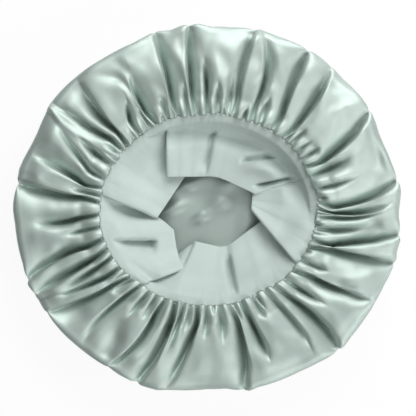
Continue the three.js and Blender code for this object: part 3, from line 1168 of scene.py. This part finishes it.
RIGHT_FLAP = (
    BandLine(-30.8, (39.3, 1.3), 7.5, 5.5), BandLine(-12, (39.6, 4.5), 4.0, 3.0),
    BandLine(3, (40.2, 9), 1.0, 1.5), BandLine(14, (41, 14.5), -0.5, 1.0),
    BandLine(18, (37.8, 22.7), -2.5, -1.5),
)
TOP_FLAP = (
    BandLine(19, (41.8, 15.2), 2.0, 1.5), BandLine(31, (35, 18.8), 1.5, -2.0),
    BandLine(46, (26.5, 22.6), 2.0, 0.5), BandLine(62, (18, 26.8), 1.5, 0.5),
    BandLine(73, (10.4, 29.9), 1.5, 1.0), BandLine(81.8, (2.7, 31), 2.0, 2.0),
    BandLine(90, (-8, 30.8), 1.0, 0.5), BandLine(97, (-14, 30.6), 2.0, 1.0),
    BandLine(107, (-25, 30.6), 6.0, 3.0), BandLine(115.5, (-35.4, 30.3), 9.0, 5.0),
)
LEFT_UPPER_FLAP = (
    BandLine(116.4, (-8.5, 49.4), -4.0, -6.0), BandLine(131, (-21.4, 29.8), -3.0, -2.0),
    BandLine(150, (-32, 13.8), -0.5, 0.0), BandLine(162, (-39, 3.2), 1.0, 2.0),
    BandLine(171, (-44.9, -5.6), 4.0, 5.5),
)
LEFT_LOWER_FLAP = (
    BandLine(172, (-50.5, 2), -2.5, -4.0), BandLine(179, (-43.5, -6.8), -1.0, -3.0),
    BandLine(188, (-38, -11), 1.0, 0.5), BandLine(196, (-30.7, -17.4), 2.0, 2.0),
    BandLine(206, (-28.4, -33), 2.5, 0.5), BandLine(216, (-26, -42), 5.0, 1.0),
    BandLine(227.5, (-22.1, -50.7), 9.5, 3.0),
)
SEAM_LINE = BandLine(273.5, (10, -33), 0.5, 1.0)
FRONT_FLAP = (
    BandLine(228.5, (-36, -47), -4.5, -1.5), BandLine(237, (-24.9, -38.8), -3.5, -1.5),
    BandLine(249, (-11.4, -28), 1.5, 1.0), BandLine(262, (0, -30.5), 1.0, 1.0), SEAM_LINE,
    BandLine(284, (17, -32.6), 0.5, 0.5), BandLine(290, (22, -29.5), 2.0, 2.0),
    BandLine(304, (33.4, -20.9), 1.0, 1.0), BandLine(317, (47.3, -10.7), -1.5, -1.0),
    BandLine(328.2, (60, -0.5), -4.0, -3.5),
)
BAND_FLAPS = (RIGHT_FLAP, TOP_FLAP, LEFT_UPPER_FLAP, LEFT_LOWER_FLAP, FRONT_FLAP)


@dataclass(frozen=True)
class BandTuck:
    """A short crease in the band, from one spot to another.

    The cloth drops steeply at the line and comes back softly over the soft width, on the left of the way
    from start to end, or on the right if the width is negative. Opening is the share of that width at the
    start.
    """

    start: complex
    end: complex
    depth: float
    soft_width: float
    opening: float = 1.0
    end_fade: float = 0.34
    steep_width: float = 0.8
    start_fade: Range = (-0.12, 0.22)
    overrun: float = 1.12

    def drop(self, spots: Array) -> Array:
        """Gives how far the cloth drops.

        Args:
            spots: where it is asked.

        Returns:
            The drop at each spot, in millimetres.
        """
        way = self.end - self.start
        off = (spots - self.start) / way
        across = off.imag * abs(way) * np.sign(self.soft_width)
        width = abs(self.soft_width) * (self.opening + (1 - self.opening) * np.clip(off.real, 0, 1))
        soft = 1 - ease(across / width, 0, 1)
        steep = np.exp(-((np.clip(across, None, 0) / self.steep_width) ** 2))
        taper = hump(off.real, self.start_fade, (self.overrun - self.end_fade, self.overrun))
        return self.depth * taper * np.where(across > 0, soft, steep)


BAND_TUCKS = (
    BandTuck(-93 - 26j, -49 - 26.5j, 13.0, -15.0, 0.4, 0.16), BandTuck(20.5 - 42j, 27 - 78j, 10.0, -9.0),
    BandTuck(-11.4 - 28j, -21.4 - 50j, 4.0, -6.0), BandTuck(31 + 42.5j, 60 + 47j, 8.0, 8.0),
    BandTuck(43 + 23.5j, 77 + 30.5j, 10.0, -9.0), BandTuck(-88 + 9j, -53 - 3j, 6.0, -9.0),
    BandTuck(-76 - 47j, -42 - 68j, 5.0, 10.0), BandTuck(-46 - 71j, 12 - 77j, 3.0, 8.0),
    BandTuck(7.5 + 74j, -0.8 + 35j, 6.0, -11.0, 0.7),
)

BAND_SWELLS = tuple(SoftSwell(*values) for values in (
    (-71, 18, -35, 20, 9, 4.0), (-73, -14, -5, 24, 9, 3.0), (55, 36, -8, 17, 6, 6.0),
    (69, 9, 80, 20, 10, 2.0), (48, -48, 35, 25, 10, 3.0), (-51, -46, -45, 20, 7, 2.5),
    (-16, -72, -5, 30, 5, 2.0), (24, 64, -22, 26, 9, -6.0), (69, 38, -52, 24, 9, -6.0),
))


@dataclass
class WideBand(ClothPiece):
    """A strip of cloth folded double along its free edge, tucked into the cap in loose flaps."""

    name: str = "wide_band_strip"
    node: str = "wide_band"
    finish: ClothFinish = BAND_CLOTH
    flat: Range = (0.096, 0.58)
    half_thickness: float = 0.75
    tuck: float = 3.0
    over_casing: float = 3.6
    start_height: float = 34.8
    drop: float = 12.5
    fall_power: float = 1.1
    fall_swing: float = 0.5
    fall_turn: float = 25.0
    lift_power: float = 1.2
    rim_rise: float = 7.7
    rim_rise_ends: Range = (0.1, 0.5)
    rim_trough: float = 7.0
    trough_rises: Range = (0.04, 0.12)
    trough_falls: Range = (0.16, 0.5)
    loose_from: Range = (0.1, 0.3)
    rows: int = 44
    nose_steps: int = 5
    fold_radius: float = 1.1
    columns_per_degree: float = 1.1
    fewest_columns: int = 6
    pleat_columns: int = 6
    pucker_counts: Counts = (61, 89, 118)
    pucker_height: float = 0.05
    pucker_rises: Range = (0.02, 0.1)
    pucker_falls: Range = (0.12, 0.4)
    seam_shares: Range = (0.08, 0.97)
    seam_steps: int = 200
    seam_clearance: float = 0.1

    def columns(self) -> Array:
        """Lays out the band's columns once round, through every flap and every pleat.

        Returns:
            The values of a line for each column, with the first column again at the end, a full turn on.
        """
        rows = []
        for index, flap in enumerate(BAND_FLAPS):
            following = BAND_FLAPS[(index + 1) % len(BAND_FLAPS)]
            for line, after in zip(flap[:-1], flap[1:]):
                rows.extend(self.between(line.values(), after.values()))
            rows.append(flap[-1].values())
            rows.extend(self.pleat(flap, following, FULL_TURN if index == len(BAND_FLAPS) - 1 else 0.0))
        return np.array([*rows, rows[0] + (FULL_TURN, 0, 0, 0, 0)])

    def between(self, start: Array, end: Array) -> Array:
        """Fills in the columns from one line up to the next.

        Args:
            start: the values of the line that the columns start on.
            end: the values of the line that they stop before.

        Returns:
            One row of values for each column.
        """
        change = end - start
        count = max(self.fewest_columns, round(change[RIM_VALUE] * self.columns_per_degree))
        shares = np.arange(count)[:, None] / count
        rows = start + change * shares
        rows[:, HEIGHT_VALUES] = start[HEIGHT_VALUES] + change[HEIGHT_VALUES] * ease(shares, 0, 1)
        return rows

    def pleat(self, flap: tuple[BandLine, ...], following: tuple[BandLine, ...], turn: float) -> list[Array]:
        """Folds the cloth back under a flap and forward again into the next one.

        Args:
            flap: the flap that ends at the pleat.
            following: the flap that starts at it.
            turn: what is added to the next flap's angles.

        Returns:
            One row of values for each column of the hidden layer and its two rounded folds.
        """
        last = flap[-1].values()
        first = following[0].values() + (turn, 0, 0, 0, 0)
        onward = self.fold_radius * unit((last - flap[-2].values())[EDGE_VALUES])
        ahead = self.fold_radius * unit((following[1].values() - first)[EDGE_VALUES])
        lower = -2 * self.fold_radius * math.copysign(1.0, (last - first)[LIFT_VALUE])
        out_turn = last + (0, *onward, lower / 2, 0)
        in_turn = first - (0, *ahead, lower / 2, 0)
        back_start = last + (0, 0, 0, lower, 0)
        back_end = first - (0, 0, 0, lower, 0)
        hidden = back_start + (back_end - back_start) * np.linspace(0, 1, self.pleat_columns)[:, None]
        return [out_turn, *hidden, in_turn]

    def middle(self, columns: Array, shares: Array) -> Array:
        """Works out the middle of the doubled strip.

        Args:
            columns: the values of each column.
            shares: how far each row is from the casing to the folded edge.

        Returns:
            The sheet of points, in millimetres.
        """
        angles, edge_x, edge_y, lift, belly = columns.T
        turn = np.radians(angles)
        level = lies_level(angles)
        start = RIM_INNER.radius(angles) + self.tuck + self.over_casing * level
        v = shares[:, None]
        spots = start * np.exp(1j * turn) * (1 - v) + (edge_x + 1j * edge_y) * v
        power = self.fall_power - self.fall_swing * np.sin(turn + math.radians(self.fall_turn))
        z = self.start_height - self.drop * v**power + lift * v**self.lift_power + belly * np.sin(np.pi * v)
        pucker = self.pucker_height * waves(turn, self.pucker_counts, by_count=1.0)
        z = z + pucker * hump(v, self.pucker_rises, self.pucker_falls)
        z = z + self.rim_rise * level * (1 - ease(v, *self.rim_rise_ends))
        z = z - self.rim_trough * (1 - level) * hump(v, self.trough_rises, self.trough_falls)
        swells = sum(swell.over(spots) for swell in BAND_SWELLS)
        drops = sum(tuck.drop(spots) for tuck in BAND_TUCKS)
        z = z + ease(v, *self.loose_from) * (swells - drops)
        return np.stack([spots.real, spots.imag, z], -1)

    @staticmethod
    def normals(points: Array) -> Array:
        """Finds the way out of the upper face at each point of a closed loop of columns.

        Args:
            points: the sheet of points, with the first column again at the end.

        Returns:
            Ways of length 1 in the same layout.
        """
        loop = points[:, :-1]
        round_way = np.roll(loop, -1, 1) - np.roll(loop, 1, 1)
        out = unit(np.cross(round_way, np.gradient(loop, axis=0)))
        return np.concatenate([out, out[:, :1]], 1)

    def points(self) -> Array:
        """Works out both layers of the strip, from the casing over the folded edge and back.

        Returns:
            The sheet of points, in millimetres.
        """
        middle = self.middle(self.columns(), np.linspace(0.0, 1.0, self.rows + 1))
        out = self.normals(middle)
        upper = middle + self.half_thickness * out
        lower = (middle - self.half_thickness * out)[::-1]
        bends = np.linspace(0, np.pi, self.nose_steps + 2)[1:-1, None, None]
        round_edge = out[-1] * np.cos(bends) + unit(middle[-1] - middle[-2]) * np.sin(bends)
        return np.concatenate([upper, middle[-1] + self.half_thickness * round_edge, lower])

    def seam(self, stitches: StitchRow) -> Piece:
        """Sews the seam that closes the strip into a loop, on its upper face."""
        path = self.middle(SEAM_LINE.values()[None], np.linspace(*self.seam_shares, self.seam_steps))[:, 0]
        return stitches.build_along(path + (0, 0, self.half_thickness + self.seam_clearance))


@dataclass(frozen=True)
class Softbox:
    """A soft lamp that looks at the middle of the opening: place and size in metres, power in watts."""

    name: str
    place: Place
    power: float
    size: Range

    def hang(self) -> None:
        """Adds the lamp and turns it to the opening."""
        bpy.ops.object.light_add(type="AREA", location=self.place)
        lamp = named(self.name)
        lamp.data.shape = "RECTANGLE"
        lamp.data.size, lamp.data.size_y = self.size
        lamp.data.energy = self.power
        aim = Vector((0, 0, RIM_HEIGHT * MM)) - Vector(self.place)
        lamp.rotation_euler = aim.to_track_quat("-Z", "Y").to_euler()


@dataclass
class Studio:
    """White floor, soft lamps and the camera straight above."""

    view_width: float = 0.370
    view_height: float = 0.026
    camera_place: Place = (0.0004, 0.0022, 1.5)
    sensor: float = 36.0
    floor_size: float = 30.0
    floor_tone: float = 0.9
    floor_glow_share: float = 0.92
    horizon_strength: float = 0.05
    overhead_strength: float = 0.76
    overhead_starts: float = 0.66
    key: Softbox = Softbox("key_softbox", (0.34, 1.13, 0.92), 21.0, (1.3, 1.05))
    fill: Softbox = Softbox("fill_softbox", (0.92, -0.92, 0.84), 15.0, (2.0, 0.8))

    def build(self) -> None:
        """Sets up floor, light and camera."""
        bpy.context.scene.view_settings.view_transform = "Standard"
        self.add_floor()
        self.add_world()
        self.key.hang()
        self.fill.hang()
        self.add_camera()

    def add_floor(self) -> None:
        """Adds a white floor that shows white to the camera and keeps the object's shadow."""
        bpy.ops.mesh.primitive_plane_add(size=self.floor_size)
        floor = named("floor")
        material = bpy.data.materials.new("white floor")
        board = NodeBoard(material)
        rays = board.add("ShaderNodeLightPath").outputs
        seen = rays["Is Camera Ray"]
        for kind in ("Is Glossy Ray", "Is Transmission Ray"):
            seen = board.add("ShaderNodeMath", {0: seen, 1: rays[kind]}, operation="MAXIMUM").outputs[0]
        share = board.add("ShaderNodeMath", {0: seen, 1: self.floor_glow_share}, operation="MULTIPLY")
        dull = board.add("ShaderNodeBsdfDiffuse", {"Color": (self.floor_tone,) * 3 + (1.0,)})
        glow = board.add("ShaderNodeEmission", {"Color": WHITE, "Strength": 1.0})
        faces = {"Fac": share.outputs[0], 1: dull.outputs[0], 2: glow.outputs[0]}
        mixed = board.add("ShaderNodeMixShader", faces)
        board.add("ShaderNodeOutputMaterial", {"Surface": mixed.outputs[0]})
        floor.data.materials.append(material)

    def add_world(self) -> None:
        """Lights everything softly from all round, most from overhead."""
        world = bpy.data.worlds.new("soft daylight")
        board = NodeBoard(world)
        place = board.add("ShaderNodeTexCoord").outputs["Generated"]
        strength = board.add("ShaderNodeMapRange", {
            "Value": board.add("ShaderNodeSeparateXYZ", {"Vector": place}).outputs["Z"],
            "From Min": self.overhead_starts,
            "From Max": 1.0,
            "To Min": self.horizon_strength,
            "To Max": self.overhead_strength,
        }, interpolation_type="SMOOTHSTEP")
        sky = board.add("ShaderNodeBackground", {"Color": WHITE, "Strength": strength.outputs["Result"]})
        board.add("ShaderNodeOutputWorld", {"Surface": sky.outputs[0]})
        bpy.context.scene.world = world

    def add_camera(self) -> None:
        """Adds the camera so that the picture is as wide as the photographed field."""
        bpy.ops.object.camera_add(location=self.camera_place, rotation=(0, 0, 0))
        camera = named("camera")
        camera.data.sensor_width = self.sensor
        camera.data.lens = self.sensor * (self.camera_place[2] - self.view_height) / self.view_width
        bpy.context.scene.camera = camera


def report(piece: Piece) -> None:
    """Logs a finished piece and how many points it has."""
    log.info("%s: %d points", piece.name, len(piece.data.vertices))


def main() -> None:
    """Builds the studio and every piece in order."""
    logging.basicConfig(level=logging.INFO, format="%(name)s: %(message)s")
    Studio().build()
    log.info("studio set up")
    for disc in (GatheredCap(), CapLining()):
        cloth = disc.build()
        disc.cut_area()
        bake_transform(cloth)
        report(cloth)
    casing = RimCasing()
    strip = casing.build()
    elastic = RimElastic()
    tape = elastic.build()
    cap_seam = StitchRow("cap_seam_stitches", "cap_seam_thread").build_round(CAP_SEAM_DEPTH, CAP_SEAM_HEIGHT)
    under_row = StitchRow("band_seam_stitches", "band_seam_thread", Face.LOWER)
    band_seam = under_row.build_round(BAND_SEAM_DEPTH, BAND_SEAM_HEIGHT)
    zigzag = elastic.zigzag(StitchRow("elastic_lap_stitches", "elastic_lap_thread"))
    for piece in (strip, tape, cap_seam, band_seam, zigzag):
        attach(piece, Body.RIM.value)
        report(piece)
    band = WideBand()
    doubled = band.build()
    closing = band.seam(StitchRow("band_closing_stitches", "band_closing_thread"))
    for piece in (doubled, closing):
        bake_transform(piece)
        report(piece)


if __name__ == "__main__":
    main()
